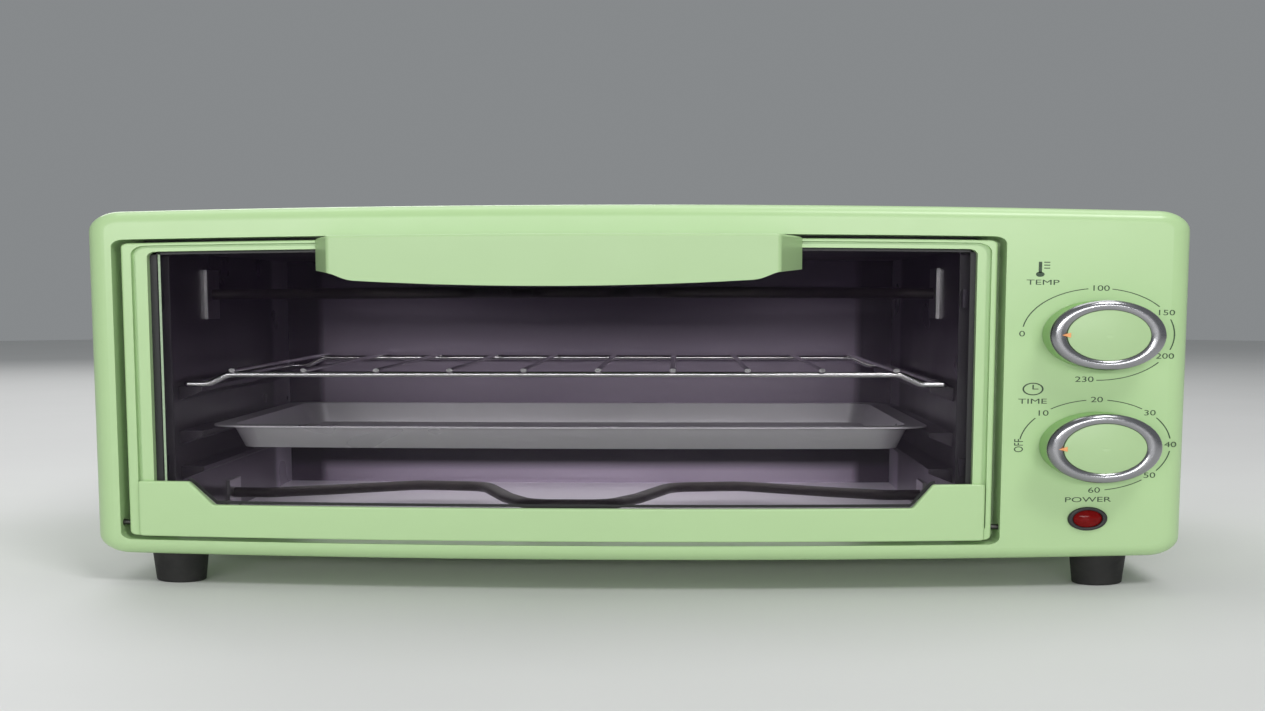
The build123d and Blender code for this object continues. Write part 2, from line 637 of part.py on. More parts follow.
def bracket_screws():
    """Four screws that hold the control bracket to the fascia's bosses."""
    seat = BRACKET_D + SHEET
    return group(screw_from_behind(x, z, seat, 3.2, 1.4, 7.0) for x, z in bracket_corners())


def control_nut(z):
    """Hexagon nut on the threaded neck of a control."""
    nut = plate(Pos(KNOB_X, z) * RegularPolygon(7.5, 6), BRACKET_D - 2.5, BRACKET_D)
    return nut - rod_y(KNOB_X, z, 5.0, BRACKET_D - 4, BRACKET_D + 1)


def shaft_bore(z):
    """The bearing bore for a control shaft."""
    return rod_y(KNOB_X, z, SHAFT_R + RUNNING_GAP, 5.0, 20.5)


def thermostat():
    """Thermostat case with a threaded neck and two terminals."""
    back = BRACKET_D + SHEET + 20
    case = block(KNOB_X - 18, KNOB_X + 18, BRACKET_D + SHEET, back, TEMPERATURE_Z - 13, TEMPERATURE_Z + 13)
    case = fillet(case.edges().filter_by(Axis.Y), 3.0)
    case += rod_y(KNOB_X, TEMPERATURE_Z, 5.0, 7.0, BRACKET_D + SHEET)
    return case - shaft_bore(TEMPERATURE_Z)


def timer():
    """Round clockwork timer with a threaded neck and a post for the bell."""
    front = BRACKET_D + SHEET
    case = rod_y(KNOB_X, TIMER_Z, 21.0, front, front + 24)
    case = fillet(case.edges().filter_by(GeomType.CIRCLE), 1.5)
    case += rod_y(KNOB_X, TIMER_Z, 5.0, 7.0, front)
    case += rod_y(KNOB_X, TIMER_Z, 2.5, front + 24, BELL_D + BELL_R - 1.3)
    return case - shaft_bore(TIMER_Z)


def timer_bell():
    """Thin bell dome on the timer's post, open towards the timer."""
    back_half = Pos(0, BELL_R, 0) * Box(3 * BELL_R, 2 * BELL_R, 3 * BELL_R)
    dome = (Sphere(BELL_R) - Sphere(BELL_R - 1)) & back_half
    return Pos(KNOB_X, depth(BELL_D), TIMER_Z) * dome


def pilot_lamp_bezel():
    """Dark ring round the lamp's lens."""
    section = Pos(LAMP_R - 0.9, 0.8) * Rectangle(1.8, 1.6)
    section = fillet(section.vertices().sort_by(Axis.Y)[-2:], 0.7)
    return turned(section, LAMP_X, LAMP_Z)


def pilot_lamp_lens():
    """Domed lens pushed through the fascia."""
    radius = LAMP_R - 1.85
    lines = Polyline((0, 2.6), (0, -FASCIA_SKIN), (radius, -FASCIA_SKIN), (radius, 0.9))
    return turned(make_face([lines, dome_arc(radius, 0.9, 2.6)]), LAMP_X, LAMP_Z)


def pilot_lamp_body():
    """Lamp holder behind the lens."""
    return rod_y(LAMP_X, LAMP_Z, 5.6, FASCIA_SKIN, 26.0)


def heat_shield():
    """Upright sheet between the hot chamber and the controls, notched for the heater ends."""
    shield = block(SHIELD_X, SHIELD_X + LINER, 17.0, 206.0, FOOT_H + 2, BODY_TOP - 4)
    for d, z in ((LOWER_HEATER_D, LOWER_HEATER_Z), (UPPER_HEATER_D, UPPER_HEATER_Z)):
        shield -= rod_x(d, z, 5.0, SHIELD_X - 1, SHIELD_X + 2)
    return shield


def terminal_block():
    """Screw terminal block on the base plate, behind the controls."""
    body = block(120, 148, 202, 218, FOOT_H + SHEET, FOOT_H + SHEET + 14)
    for i in range(3):
        body -= rod_z(125 + i * 9.0, 210, 2.2, FOOT_H + SHEET + 9, FOOT_H + SHEET + 15)
    return body


def wiring():
    """Insulated leads between the terminal block, the controls and the heater ends."""
    top = FOOT_H + SHEET + 14
    reach = HEATER_TIP + HEATER_STUD
    right_tip, left_tip = CHAMBER_X + reach, CHAMBER_X - reach
    side = left_tip - 6.5
    upper_z, lower_z = UPPER_HEATER_Z, LOWER_HEATER_Z
    upper_d, lower_d = UPPER_HEATER_D, LOWER_HEATER_D
    routes = [
        ([(136, 206, top), (136, 206, 150), (136, 34, 150)], 12),
        ([(144, 206, top), (144, 206, 101.5), (144, 38, 101.5)], 12),
        ([(156, 34, 150), (156, upper_d, 150), (156, upper_d, upper_z), (right_tip, upper_d, upper_z)], 7),
        ([(163, 38, 70), (163, lower_d, 70), (163, lower_d, lower_z), (right_tip, lower_d, lower_z)], 7),
        ([(120, 214, 29), (side, 214, 29), (side, lower_d, 29),
          (side, lower_d, lower_z), (left_tip, lower_d, lower_z)], 3.5),
        ([(126, 215, top), (126, 215, upper_z), (side, 215, upper_z),
          (side, upper_d, upper_z), (left_tip, upper_d, upper_z)], 3.5),
    ]
    leads = []
    for points, bend in routes:
        placed = [(x, depth(d), z) for x, d, z in points]
        leads.append(wire(placed, LEAD_R, bend))
    return group(leads)


# ---------------------------------------------------------------- the nodes
def nodes():
    """Every node by name."""
    made = {
        "front_fascia": front_fascia(),
        "outer_shell": outer_shell(),
        "back_panel": back_panel(),
        "base_plate": base_plate(),
        "back_screws": back_screws(),
        "foot_screws": foot_screws(),
        "cord_gland": cord_gland(),
        "chamber_left_wall": chamber_side(-1),
        "chamber_right_wall": chamber_side(1),
        "chamber_back_wall": chamber_back(),
        "chamber_ceiling": chamber_sheet(CHAMBER_Z1, CHAMBER_Z1 + LINER),
        "chamber_floor": chamber_sheet(CHAMBER_Z0 - LINER, CHAMBER_Z0),
        "chamber_front_frame": chamber_front_frame(),
        "upper_heater": heater(UPPER_HEATER_Z, UPPER_HEATER_D, -1),
        "lower_heater": heater(LOWER_HEATER_Z, LOWER_HEATER_D, 1),
        "heater_insulators": heater_insulators(),
        "heater_brackets": heater_brackets(),
        "wire_rack": wire_rack(),
        "baking_tray": baking_tray(),
        "door_frame": door_frame(),
        "door_bottom_strip": door_bottom_strip(),
        "door_glass": door_glass(),
        "door_handle": door_handle(),
        "handle_screws": handle_screws(),
        "glass_clips": glass_clips(),
        "door_hinge_pins": hinge_pins(),
        "hinge_brackets": hinge_brackets(),
        "control_bracket": control_bracket(),
        "bracket_screws": bracket_screws(),
        "control_nuts": group([control_nut(TEMPERATURE_Z), control_nut(TIMER_Z)]),
        "thermostat": thermostat(),
        "timer": timer(),
        "timer_bell": timer_bell(),
        "pilot_lamp_bezel": pilot_lamp_bezel(),
        "pilot_lamp_lens": pilot_lamp_lens(),
        "pilot_lamp_body": pilot_lamp_body(),
        "heat_shield": heat_shield(),
        "terminal_block": terminal_block(),
        "wiring": wiring(),
    }
    for name, z in (("temperature", TEMPERATURE_Z), ("timer", TIMER_Z)):
        made[f"{name}_knob"] = knob_body(z)
        made[f"{name}_knob_ring"] = knob_ring(z)
        made[f"{name}_knob_cap"] = knob_cap(z)
        made[f"{name}_knob_pointer"] = knob_pointer(z)
        made[f"{name}_shaft"] = control_shaft(z)
    for (x, d), corner in zip(foot_places(), ("front_left", "front_right", "rear_left", "rear_right")):
        made[f"foot_{corner}"] = foot(x, d)
    return made


os.makedirs("parts", exist_ok=True)
for node, shape in nodes().items():
    export_step(shape, f"parts/{node}.step")
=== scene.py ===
"""Looks for a small light-green toaster oven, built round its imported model. Units are metres."""

import json
import math

import bmesh
import bpy
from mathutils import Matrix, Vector


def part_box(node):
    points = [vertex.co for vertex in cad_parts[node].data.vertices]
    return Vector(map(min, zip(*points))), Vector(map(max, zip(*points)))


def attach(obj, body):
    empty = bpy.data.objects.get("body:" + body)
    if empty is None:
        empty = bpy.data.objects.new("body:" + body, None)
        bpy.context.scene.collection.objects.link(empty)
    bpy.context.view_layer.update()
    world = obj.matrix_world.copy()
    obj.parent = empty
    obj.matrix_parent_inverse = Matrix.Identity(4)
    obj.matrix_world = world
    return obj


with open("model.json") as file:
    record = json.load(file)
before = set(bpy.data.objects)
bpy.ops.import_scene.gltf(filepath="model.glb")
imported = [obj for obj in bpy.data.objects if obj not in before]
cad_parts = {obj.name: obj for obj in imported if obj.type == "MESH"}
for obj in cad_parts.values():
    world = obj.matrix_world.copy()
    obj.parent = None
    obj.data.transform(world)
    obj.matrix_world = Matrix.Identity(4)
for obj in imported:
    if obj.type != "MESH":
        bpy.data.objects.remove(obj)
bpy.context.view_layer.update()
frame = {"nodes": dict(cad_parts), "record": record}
nodes = frame["nodes"]


# ---------------------------------------------------------------- places read from the frame
def middle(node):
    """Centre of a node's box."""
    low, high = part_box(node)
    return (low + high) / 2


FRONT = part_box("front_fascia")[0].y
TEMPERATURE = middle("temperature_knob_ring")
TIMER = middle("timer_knob_ring")
LAMP = middle("pilot_lamp_bezel")
BACK_WALL = middle("chamber_back_wall")


def add_object(name, data):
    """Make an object from its data and link it into the scene."""
    thing = bpy.data.objects.new(name, data)
    bpy.context.scene.collection.objects.link(thing)
    return thing


def mesh_from(name, shape):
    """Turn a finished bmesh into a mesh, and free it."""
    mesh = bpy.data.meshes.new(name)
    shape.to_mesh(mesh)
    shape.free()
    return mesh


# ---------------------------------------------------------------- node-tree helpers
# The mix node has a socket of each name for every kind of value. These are the places of the colour ones.
MIX_FACTOR, MIX_FIRST, MIX_SECOND = 0, 6, 7
MIX_RESULT = 2


class Tree:
    """A material's node tree, with short calls for the nodes used here."""

    def __init__(self, name):
        self.material = bpy.data.materials.new(name)
        self.material.use_nodes = True
        self.nodes = self.material.node_tree.nodes
        self.links = self.material.node_tree.links
        self.shader = self.nodes["Principled BSDF"]
        self.place = self.nodes.new("ShaderNodeTexCoord").outputs["Object"]

    def link(self, source, target):
        self.links.new(source, target)
        return self

    def set(self, **values):
        """Set uniform values on the shader's own sockets, with _ for a space."""
        for key, value in values.items():
            self.shader.inputs[key.replace("_", " ")].default_value = value
        return self

    def noise(self, scale, detail=3.0, rough=0.55):
        """Noise value from 0 to 1; the scale is in cycles per metre."""
        node = self.nodes.new("ShaderNodeTexNoise")
        node.inputs["Scale"].default_value = scale
        node.inputs["Detail"].default_value = detail
        node.inputs["Roughness"].default_value = rough
        self.link(self.place, node.inputs["Vector"])
        return node.outputs["Fac"]

    def ramp(self, value, low, high, start=0.1, end=0.9):
        """Blend between two colours as a value goes from start to end."""
        node = self.nodes.new("ShaderNodeValToRGB")
        node.color_ramp.elements[0].position = start
        node.color_ramp.elements[1].position = end
        node.color_ramp.elements[0].color = (*low, 1)
        node.color_ramp.elements[1].color = (*high, 1)
        self.link(value, node.inputs["Fac"])
        return node.outputs["Color"]

    def span(self, value, low, high, start=0.1, end=0.9):
        """Map a value from start..end to low..high."""
        node = self.nodes.new("ShaderNodeMapRange")
        node.inputs["From Min"].default_value = start
        node.inputs["From Max"].default_value = end
        node.inputs["To Min"].default_value = low
        node.inputs["To Max"].default_value = high
        self.link(value, node.inputs["Value"])
        return node.outputs["Result"]

    def along(self, axis):
        """Place of a point along one of the axes X, Y or Z."""
        node = self.nodes.new("ShaderNodeSeparateXYZ")
        self.link(self.place, node.inputs["Vector"])
        return node.outputs[axis]

    def off(self, value, centre):
        """Distance of a value from a centre, either way."""
        shift = self.nodes.new("ShaderNodeMath")
        shift.operation = "SUBTRACT"
        shift.inputs[1].default_value = centre
        self.link(value, shift.inputs[0])
        size = self.nodes.new("ShaderNodeMath")
        size.operation = "ABSOLUTE"
        self.link(shift.outputs[0], size.inputs[0])
        return size.outputs[0]

    def mix(self, kind, first, second):
        """Two colours joined by one of the mix node's blend types."""
        node = self.nodes.new("ShaderNodeMix")
        node.data_type = "RGBA"
        node.blend_type = kind
        node.inputs[MIX_FACTOR].default_value = 1.0
        self.link(first, node.inputs[MIX_FIRST])
        self.link(second, node.inputs[MIX_SECOND])
        return node.outputs[MIX_RESULT]

    def times(self, first, second):
        return self.mix("MULTIPLY", first, second)

    def plus(self, first, second):
        return self.mix("ADD", first, second)

    def bump(self, value, strength, distance):
        """Bump made from a value, with the height in metres that the value's whole range stands for."""
        node = self.nodes.new("ShaderNodeBump")
        node.inputs["Strength"].default_value = strength
        node.inputs["Distance"].default_value = distance
        self.link(value, node.inputs["Height"])
        return self.link(node.outputs["Normal"], self.shader.inputs["Normal"])

    def colour(self, value):
        return self.link(value, self.shader.inputs["Base Color"])

    def roughness(self, value):
        return self.link(value, self.shader.inputs["Roughness"])


def shade(colour, factor):
    """A colour made lighter or darker."""
    return tuple(min(1.0, c * factor) for c in colour)


# ---------------------------------------------------------------- materials
WHITE = (1, 1, 1)
BLACK = (0, 0, 0)
GREEN = (0.455, 0.650, 0.333)
SHEET_METALLIC = 0.45       # sheet with a dulled surface, between bare metal and paint

# Marks, painted shade, painted shadow and painted reflections on the chamber's walls, all in metres.
PANEL_HALF = 0.1135         # half the width of the raised panel in the back wall; outside it the wall has painted shade
PANEL_EDGE = 0.001
TOP_SHADE_Z = (0.105, 0.160)    # painted shade: the back wall darkens upwards between these heights
TRAY_SHADOW_Z = 0.056              # middle of the painted shadow of the tray, a dark band on the back wall under it
TRAY_SHADOW_HALF = (0.013, 0.018)  # the painted shadow fades out between these distances from its middle
PAINT_TUCK = 0.002          # how far the green on the front flange reaches behind the door
PAINT_EDGE = 0.0005
REFLECTION_DEPTH = (0.10, 0.03)  # painted reflection: a side wall gets brighter between these distances from the back wall
CORNER_DEPTH = (0.034, 0.028)   # and its painted highlight, a bright strip at the back corner, begins between these


def enamel(name, colour, gloss=0.30):
    """Sprayed enamel: faint mottling and small differences in gloss."""
    tree = Tree(name)
    tree.colour(tree.ramp(tree.noise(14), shade(colour, 0.975), shade(colour, 1.02)))
    tree.roughness(tree.span(tree.noise(60), gloss - 0.03, gloss + 0.05))
    return tree.set(Specular_IOR_Level=0.5).material


def liner_metal(name, colour, low=0.20, high=0.34):
    """Aluminised sheet, with cloudy patches in its colour and its polish."""
    tree = Tree(name)
    tree.colour(tree.ramp(tree.noise(9, detail=1), shade(colour, 0.88), shade(colour, 1.10)))
    tree.roughness(tree.span(tree.noise(20, detail=1), low, high))
    return tree.set(Metallic=SHEET_METALLIC).material


def back_wall_metal():
    """Chamber's back wall: a raised panel, with painted shade at its sides and its top, and a painted
    shadow of the tray as a dark band below.
    """
    tree = Tree("chamber_back_sheet")
    sheet = tree.ramp(tree.noise(9, detail=1), (0.27, 0.22, 0.30), (0.40, 0.34, 0.43))
    aside = tree.off(tree.along("X"), BACK_WALL.x)
    # painted shade: the wall is darker beside the raised panel
    sides = tree.ramp(aside, WHITE, (0.13, 0.11, 0.14), PANEL_HALF, PANEL_HALF + PANEL_EDGE)
    # painted shade: the wall darkens towards its top
    top_shade = tree.ramp(tree.along("Z"), WHITE, (0.26, 0.23, 0.28), *TOP_SHADE_Z)
    # painted shadow of the tray: a dark band on the wall under it
    from_tray_shadow = tree.off(tree.along("Z"), TRAY_SHADOW_Z)
    tray_shadow = tree.ramp(from_tray_shadow, (0.020, 0.016, 0.024), WHITE, *TRAY_SHADOW_HALF)
    tree.colour(tree.times(tree.times(sheet, sides), tree.times(top_shade, tray_shadow)))
    tree.roughness(tree.span(tree.noise(20, detail=1), 0.26, 0.36))
    return tree.set(Metallic=SHEET_METALLIC).material


def front_frame_metal():
    """Chamber's front flange: dark behind the door, with green overspray outside the door's edges."""
    tree = Tree("chamber_front_flange")
    sheet = tree.ramp(tree.noise(9, detail=1), (0.045, 0.040, 0.050), (0.060, 0.052, 0.065))
    low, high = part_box("door_frame")
    aside = tree.off(tree.along("X"), (low.x + high.x) / 2)
    edge = (high.x - low.x) / 2 - PAINT_TUCK
    paint = tree.ramp(aside, BLACK, shade(GREEN, 0.9), edge, edge + PAINT_EDGE)
    tree.colour(tree.plus(sheet, paint))
    tree.roughness(tree.span(tree.noise(20, detail=1), 0.36, 0.5))
    return tree.material


def side_wall_metal():
    """Chamber's side walls: dark, with a painted reflection that brightens them towards the back corner,
    and a painted highlight strip there.
    """
    tree = Tree("chamber_side_sheet")
    sheet = tree.ramp(tree.noise(16, detail=2), (0.06, 0.05, 0.065), (0.13, 0.11, 0.14))
    reflection_from = [BACK_WALL.y - depth for depth in REFLECTION_DEPTH]
    corner = [BACK_WALL.y - depth for depth in CORNER_DEPTH]
    # painted reflection: the wall brightens towards the back corner
    back_reflection = tree.ramp(tree.along("Y"), (0.42, 0.40, 0.43), WHITE, *reflection_from)
    # painted highlight: a bright strip at the back corner
    strip = tree.ramp(tree.along("Y"), BLACK, (0.30, 0.27, 0.33), *corner)
    tree.colour(tree.plus(tree.times(sheet, back_reflection), strip))
    tree.roughness(tree.span(tree.noise(30, detail=1), 0.24, 0.36))
    return tree.set(Metallic=SHEET_METALLIC).material


def tray_metal():
    """Plain pressed steel, unsoiled and bright, with a little baked-on discolouring."""
    tree = Tree("tray_steel")
    tree.colour(tree.ramp(tree.noise(12, detail=1), (0.78, 0.74, 0.81), (0.93, 0.90, 0.95)))
    tree.roughness(tree.span(tree.noise(30, detail=1), 0.24, 0.36))
    return tree.set(Metallic=SHEET_METALLIC).material


def plated(name, colour, low, high):
    """Plated steel with a fine uneven polish, from low to high in roughness."""
    tree = Tree(name)
    tree.colour(tree.ramp(tree.noise(160, detail=4), shade(colour, 0.82), colour))
    tree.roughness(tree.span(tree.noise(400, detail=4), low, high))
    tree.bump(tree.noise(2200, detail=2), strength=0.06, distance=0.00004)
    return tree.set(Metallic=1.0).material


def ring_metal():
    """Satin chrome, a little uneven in its polish."""
    tree = Tree("satin_chrome_ring")
    tree.colour(tree.ramp(tree.noise(120, detail=2), (0.33, 0.33, 0.345), (0.38, 0.38, 0.395)))
    tree.roughness(tree.span(tree.noise(300, detail=2), 0.20, 0.27))
    return tree.set(Metallic=1.0).material


def heater_sheath():
    """Oxidised sheath: nearly black, with brown and grey scale."""
    tree = Tree("heater_sheath")
    patches = tree.noise(260, detail=6, rough=0.65)
    tree.colour(tree.ramp(patches, (0.012, 0.011, 0.012), (0.055, 0.045, 0.042)))
    tree.roughness(tree.span(tree.noise(500, detail=4), 0.38, 0.62))
    tree.bump(tree.noise(1500, detail=4, rough=0.6), strength=0.25, distance=0.0001)
    return tree.set(Metallic=0.55).material


def black_moulding():
    """Black moulded plastic with a fine spark-eroded grain."""
    tree = Tree("black_moulding")
    black = (0.018, 0.018, 0.019)
    tree.colour(tree.ramp(tree.noise(40, detail=4), shade(black, 0.93), shade(black, 1.05)))
    tree.roughness(tree.span(tree.noise(700), 0.32, 0.46))
    tree.bump(tree.noise(3000, detail=2), strength=0.18, distance=0.00005)
    return tree.set(Specular_IOR_Level=0.5).material


def rubber():
    """Black rubber with a dusty bloom."""
    tree = Tree("foot_rubber")
    tree.colour(tree.ramp(tree.noise(180, detail=5), (0.010, 0.010, 0.010), (0.028, 0.027, 0.026)))
    tree.roughness(tree.span(tree.noise(500), 0.55, 0.75))
    tree.bump(tree.noise(2400), strength=0.25, distance=0.00008)
    return tree.set(Specular_IOR_Level=0.35).material


def ceramic():
    """Glazed ceramic with faint speckle."""
    tree = Tree("glazed_ceramic")
    speckle = tree.noise(900, detail=5)
    tree.colour(tree.ramp(speckle, (0.62, 0.58, 0.50), (0.80, 0.77, 0.70), start=0.35, end=0.6))
    tree.roughness(tree.span(tree.noise(300), 0.22, 0.36))
    return tree.bump(tree.noise(900), strength=0.15, distance=0.00008).material


def door_pane():
    """Smoke-tinted tempered glass, with a trace of smear in its gloss."""
    tree = Tree("tinted_glass")
    tree.colour(tree.ramp(tree.noise(9), (0.008, 0.004, 0.011), (0.012, 0.007, 0.016)))
    tree.roughness(tree.span(tree.noise(35, detail=5, rough=0.65), 0.015, 0.05))
    return tree.set(Alpha=0.20, IOR=1.5, Specular_IOR_Level=0.28).material


def lamp_red():
    """Dark red lens of the unlit lamp, a little uneven in colour and gloss."""
    tree = Tree("lamp_lens")
    tree.colour(tree.ramp(tree.noise(500), (0.14, 0.002, 0.002), (0.22, 0.004, 0.004)))
    tree.roughness(tree.span(tree.noise(300, detail=2), 0.10, 0.20))
    return tree.set(Specular_IOR_Level=0.15).material


def print_ink(name, colour):
    """Screen-printed ink with slightly uneven cover."""
    tree = Tree(name)
    tree.colour(tree.ramp(tree.noise(900, detail=4), colour, shade(colour, 1.8)))
    tree.roughness(tree.span(tree.noise(800), 0.40, 0.55))
    return tree.bump(tree.noise(1500, detail=2), strength=0.1, distance=0.00003).material


def woven_sleeve():
    """Glass-fibre sleeve of the internal leads, rough and speckled."""
    tree = Tree("woven_sleeve")
    tree.colour(tree.ramp(tree.noise(1500, detail=2), (0.45, 0.43, 0.38), (0.72, 0.70, 0.64)))
    tree.roughness(tree.span(tree.noise(1500, detail=2), 0.65, 0.85))
    return tree.bump(tree.noise(2600, detail=2), strength=0.4, distance=0.0001).material


# The finish of each material slot of the record.
MATERIALS = {
    "painted_green": enamel("green_enamel", GREEN),
    "green_plastic": enamel("green_moulding", shade(GREEN, 0.90), 0.38),
    "back_sheet": enamel("green_back_paint", shade(GREEN, 0.92), 0.42),
    "liner": liner_metal("aluminised_sheet", (0.56, 0.51, 0.59)),
    "tray": tray_metal(),
    "bracket_steel": plated("bracket_steel", (0.52, 0.50, 0.52), 0.25, 0.42),
    "bright_wire": plated("bright_wire", (0.78, 0.76, 0.78), 0.10, 0.24),
    "heater_sheath": heater_sheath(),
    "ceramic": ceramic(),
    "chrome_ring": ring_metal(),
    "pointer_orange": print_ink("pointer_ink", (0.72, 0.27, 0.10)),
    "steel_pin": plated("turned_steel", (0.60, 0.60, 0.60), 0.18, 0.32),
    "screw_steel": plated("zinc_screw", (0.62, 0.62, 0.60), 0.22, 0.38),
    "black_plastic": black_moulding(),
    "control_case": plated("control_case", (0.58, 0.57, 0.54), 0.28, 0.44),
    "rubber_foot": rubber(),
    "door_glass": door_pane(),
    "lamp_red": lamp_red(),
    "lead_sleeve": woven_sleeve(),
}
SIDE_SHEET = side_wall_metal()
# A darker, more saturated green moulding for the knobs, darkened also as painted shade on their sides.
SHADED_KNOB_SIDE = enamel("knob_side_shaded_green", (0.29, 0.53, 0.18), 0.40)
# Nodes whose finish differs from the rest of their slot.
FINISHES = {
    "chamber_back_wall": back_wall_metal(),
    "chamber_left_wall": SIDE_SHEET,
    "chamber_right_wall": SIDE_SHEET,
    "chamber_ceiling": liner_metal("smoked_ceiling", (0.10, 0.085, 0.11), 0.3, 0.45),
    "chamber_front_frame": front_frame_metal(),
    # Painted light: the floor's sheet is much lighter than the rest of the liner, to stand for the light
    # on it.
    "chamber_floor": liner_metal("chamber_floor_sheet", (0.84, 0.80, 0.87), 0.28, 0.42),
    "temperature_knob": SHADED_KNOB_SIDE,
    "timer_knob": SHADED_KNOB_SIDE,
    "door_hinge_pins": plated("dark_hinge_pin", (0.08, 0.08, 0.075), 0.3, 0.45),
    "glass_clips": plated("dark_glass_clip", (0.05, 0.045, 0.055), 0.35, 0.5),
}


def dress_nodes():
    """Give every CAD node the finish named for it, or the material of its slot."""
    for part in frame["record"]["subparts"]:
        name = part["node"]
        mesh = nodes[name].data
        mesh.materials.clear()
        mesh.materials.append(FINISHES.get(name) or MATERIALS[part["material_slot"]])


# ---------------------------------------------------------------- prints on the fascia and the glass
INK = print_ink("print_ink", (0.020, 0.045, 0.020))
PROUD = 0.00006             # how far a printed line stands off the surface under it
LETTER_HALF = 0.00003       # half the thickness of printed letters
CAPITAL_SHARE = 0.70        # a capital's height as a share of the font's size
ARC_STEP = 3                # degrees from one point of a printed arc to the next


def ribbon(name, lines, width, y, material, body):
    """Flat printed lines of one width, facing forward at y. Each line is a list of (x, z) points."""
    shape = bmesh.new()
    for line in lines:
        points = [Vector(point) for point in line]
        sides = []
        for i, point in enumerate(points):
            run = points[min(i + 1, len(points) - 1)] - points[max(i - 1, 0)]
            across = Vector((-run.y, run.x)).normalized() * width / 2
            sides.append([point + across, point - across])
        rows = [[shape.verts.new((p.x, y - PROUD, p.y)) for p in pair] for pair in sides]
        for (a, b), (c, d) in zip(rows, rows[1:]):
            shape.faces.new((a, b, d, c))
    bmesh.ops.recalc_face_normals(shape, faces=shape.faces)
    for face in shape.faces:
        if face.normal.y > 0:
            face.normal_flip()
    piece = add_object(name, mesh_from(name, shape))
    piece.data.materials.append(material)
    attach(piece, body)


def fascia_print(name, lines, width):
    """Lines in the fascia's ink, on its front."""
    ribbon(name, lines, width, FRONT, INK, "casing")


def arc(centre, radius, start, end):
    """Points of a circle's arc, from one clock angle to another in degrees."""
    steps = max(3, int(abs(end - start) / ARC_STEP))
    points = []
    for i in range(steps + 1):
        angle = math.radians(start + (end - start) * i / steps)
        points.append((centre[0] + radius * math.sin(angle), centre[1] + radius * math.cos(angle)))
    return points


def words(name, text, x, z, height, width=None, turned=0.0):
    """A printed word centred at x, z, with the height of its capitals, its full width where one is
    given, and the degrees that it is turned by."""
    data = bpy.data.curves.new(name, "FONT")
    data.body = text
    data.align_x = "CENTER"
    data.align_y = "CENTER"
    data.size = height / CAPITAL_SHARE
    data.extrude = LETTER_HALF
    data.materials.append(INK)
    piece = add_object(name, data)
    piece.location = (x, FRONT - LETTER_HALF, z)
    piece.rotation_euler = (math.radians(90), math.radians(turned), 0)
    if width:
        bpy.context.view_layer.update()
        piece.scale.x = width / piece.dimensions.x
    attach(piece, "casing")


DIAL_R = 0.0254             # radius of the circle that a dial's numbers stand on
DIAL_LINE = 0.00042         # width of the printed arcs
DIGIT_H = 0.0030
LABEL_H = 0.0028            # height of the words' capitals
# What each dial says, and the clock angle in degrees at which it says it.
TEMPERATURE_MARKS = {"0": -90, "100": 0, "150": 61, "200": 118, "230": 190}
TIMER_MARKS = {"OFF": -90, "10": -45, "20": 0, "30": 45, "40": 90, "50": 133, "60": 180}


def add_dial(name, centre, marks, gap):
    """Numbers round a knob, with arcs of a thin circle between them that stop gap degrees short."""
    angles = list(marks.values())
    lines = [arc((centre.x, centre.z), DIAL_R, a + gap, b - gap) for a, b in zip(angles, angles[1:])]
    fascia_print(f"{name}_dial_arcs", lines, DIAL_LINE)
    for text, angle in marks.items():
        x = centre.x + DIAL_R * math.sin(math.radians(angle))
        z = centre.z + DIAL_R * math.cos(math.radians(angle))
        turned = -90.0 if text == "OFF" else 0.0
        words(f"{name}_mark_{text}", text, x, z, DIGIT_H, turned=turned)


def add_labels():
    """Plain words by the knobs and the lamp."""
    words("label_temp", "TEMP", TEMPERATURE.x - 0.0190, TEMPERATURE.z + 0.0282, LABEL_H, width=0.0108)
    words("label_time", "TIME", TIMER.x - 0.0213, TIMER.z + 0.0245, LABEL_H, width=0.0094)
    words("label_power", "POWER", LAMP.x, LAMP.z + 0.0106, LABEL_H, width=0.0155)


def add_thermometer():
    """Thermometer over the word by the upper knob, with three ticks at its side."""
    x = TEMPERATURE.x - 0.0200
    z = TEMPERATURE.z + 0.0355
    bulb = arc((x, z - 0.0028), 0.0007, 0, 360)
    ticks = [[(x + 0.0012, z + up), (x + 0.0032, z + up)] for up in (0.0038, 0.0022, 0.0006)]
    fascia_print("sign_thermometer_tube", [[(x, z - 0.0020), (x, z + 0.0040)]], width=0.0011)
    fascia_print("sign_thermometer_bulb", [bulb], width=0.0014)
    fascia_print("sign_thermometer_ticks", ticks, width=0.0005)


def add_clock():
    """Clock face over the word by the lower knob."""
    x = TIMER.x - 0.0213
    z = TIMER.z + 0.0314
    hands = [[(x, z + 0.0024), (x, z)], [(x - 0.0002, z), (x + 0.0018, z)]]
    fascia_print("sign_clock_rim", [arc((x, z), 0.0032, 0, 360)], width=0.00055)
    fascia_print("sign_clock_hands", hands, width=0.00045)


# The part of the glass that the border runs round. Its edges lie 0.2 mm under the door's frame and strip.
BORDER_LEFT, BORDER_RIGHT = -0.1592, 0.1090
BORDER_LOW, BORDER_HIGH = 0.0475, 0.1902
BORDER_LEFT_W = 0.0026
BORDER_RIGHT_W = 0.0020
BORDER_TOP_W = 0.0018
# The pale line is a painted highlight, standing for a lit edge just inside the border.
PALE_LINE_W = 0.0008
PALE_LINE_IN = 0.0034       # from the border's left edge
PALE_LINE_LOW = 0.0600
STRIP_LINE_W = 0.0016
# Points (x, z) of the line over the bottom strip, from left to right.
STRIP_LINE = [(-0.1480, 0.0615), (-0.1470, 0.0612), (-0.1384, 0.0484)]
STRIP_LINE += [(0.0890, 0.0484), (0.0960, 0.0612), (0.0970, 0.0615)]


